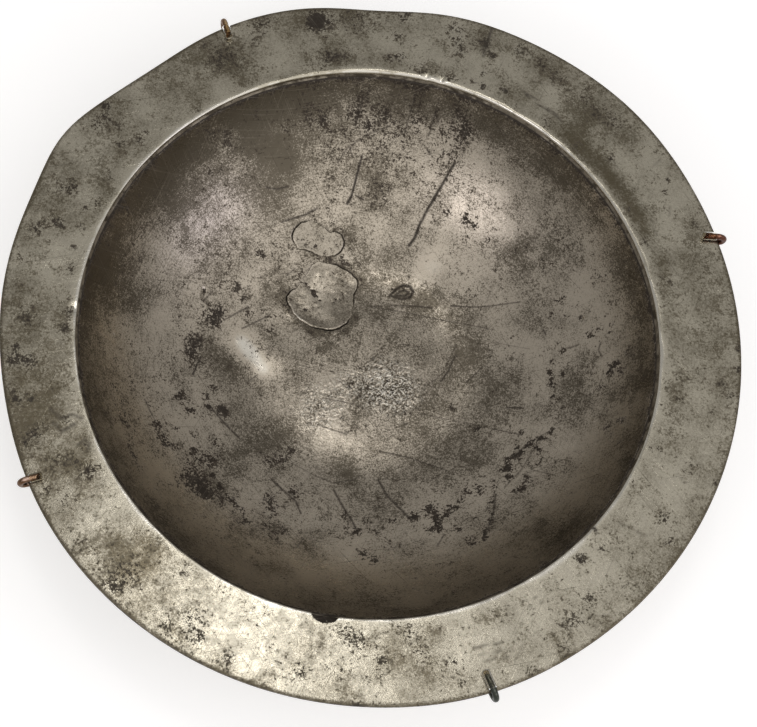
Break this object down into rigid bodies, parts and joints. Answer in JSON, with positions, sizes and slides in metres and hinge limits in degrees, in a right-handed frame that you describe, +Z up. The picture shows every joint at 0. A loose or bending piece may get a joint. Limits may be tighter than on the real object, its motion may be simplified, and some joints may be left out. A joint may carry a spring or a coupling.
{
  "type": "paten plate",
  "caption": "Deep round pewter dish with a broad flat rim, old soldered repairs in the bowl and spring wire clips on the rim's edge.",
  "frame": {"origin": "centre of the flat base that the dish stands on, on the axis that the bowl was turned about", "axes": "+Z up out of the bowl, square to the rim's face; -Y towards the side where the nick is; +X to the right seen from that side"},
  "size_m": [0.2388, 0.2404, 0.0468],
  "materials": {
    "rim_pewter": "worn pewter, turned and polished by handling, with dark oxide stains",
    "bowl_pewter": "worn pewter, turned, scratched and pitted, with dark oxide stains",
    "solder": "dull solder",
    "patch_pewter": "smooth burned-in pewter",
    "clip_brass": "dark brown patina, bare at the filed tips",
    "clear_sleeve": "thin clear tubing"
  },
  "bodies": {
    "dish": {"bowl_shell": "bowl_pewter", "rim_ring": "rim_pewter", "seam_solder": "solder", "patch_small": "patch_pewter", "patch_large": "patch_pewter"},
    "clip_back_left": {"clip_wire_back_left": "clip_brass", "clip_sleeve_back_left": "clear_sleeve"},
    "clip_back_right": {"clip_wire_back_right": "clip_brass", "clip_sleeve_back_right": "clear_sleeve"},
    "clip_front_left": {"clip_wire_front_left": "clip_brass", "clip_sleeve_front_left": "clear_sleeve"},
    "clip_front_right": {"clip_wire_front_right": "clip_brass", "clip_sleeve_front_right": "clear_sleeve"}
  },
  "joints": [
    {"name": "pull_off_back_left", "type": "slide", "parent": "dish", "child": "clip_back_left", "axis": [-0.5075, 0.8616, 0], "range_m": [0, 0.016]},
    {"name": "pull_off_back_right", "type": "slide", "parent": "dish", "child": "clip_back_right", "axis": [0.9816, 0.1908, 0], "range_m": [0, 0.016]},
    {"name": "pull_off_front_left", "type": "slide", "parent": "dish", "child": "clip_front_left", "axis": [-0.8616, -0.5075, 0], "range_m": [0, 0.016]},
    {"name": "pull_off_front_right", "type": "slide", "parent": "dish", "child": "clip_front_right", "axis": [0.5878, -0.809, 0], "range_m": [0, 0.016]}
  ]
}
